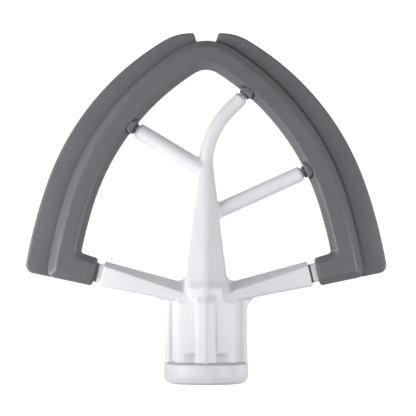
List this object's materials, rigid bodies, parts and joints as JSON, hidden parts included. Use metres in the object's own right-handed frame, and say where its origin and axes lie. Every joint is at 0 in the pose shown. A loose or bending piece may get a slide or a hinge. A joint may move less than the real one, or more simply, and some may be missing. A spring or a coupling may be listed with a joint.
{
  "type": "stand mixer flat beater with flexible edge",
  "caption": "Flat beater for a tilt-head stand mixer: white coated arched frame with hub socket, slanted branches and a grey flexible scraping edge.",
  "frame": {"origin": "centre of the hub's end face, which is the lowest face of the part", "axes": "+Z from the hub's end face up along the drive axis to the arch's tip, X across the arch, Y front to back with the front facing -Y"},
  "size_m": [0.1552, 0.036, 0.1507],
  "materials": {
    "white_coating": "glossy white coating on cast aluminium",
    "grey_rubber": "matte grey silicone rubber"
  },
  "bodies": {
    "root": {"frame": "white_coating", "flex_edge": "grey_rubber"}
  },
  "joints": []
}
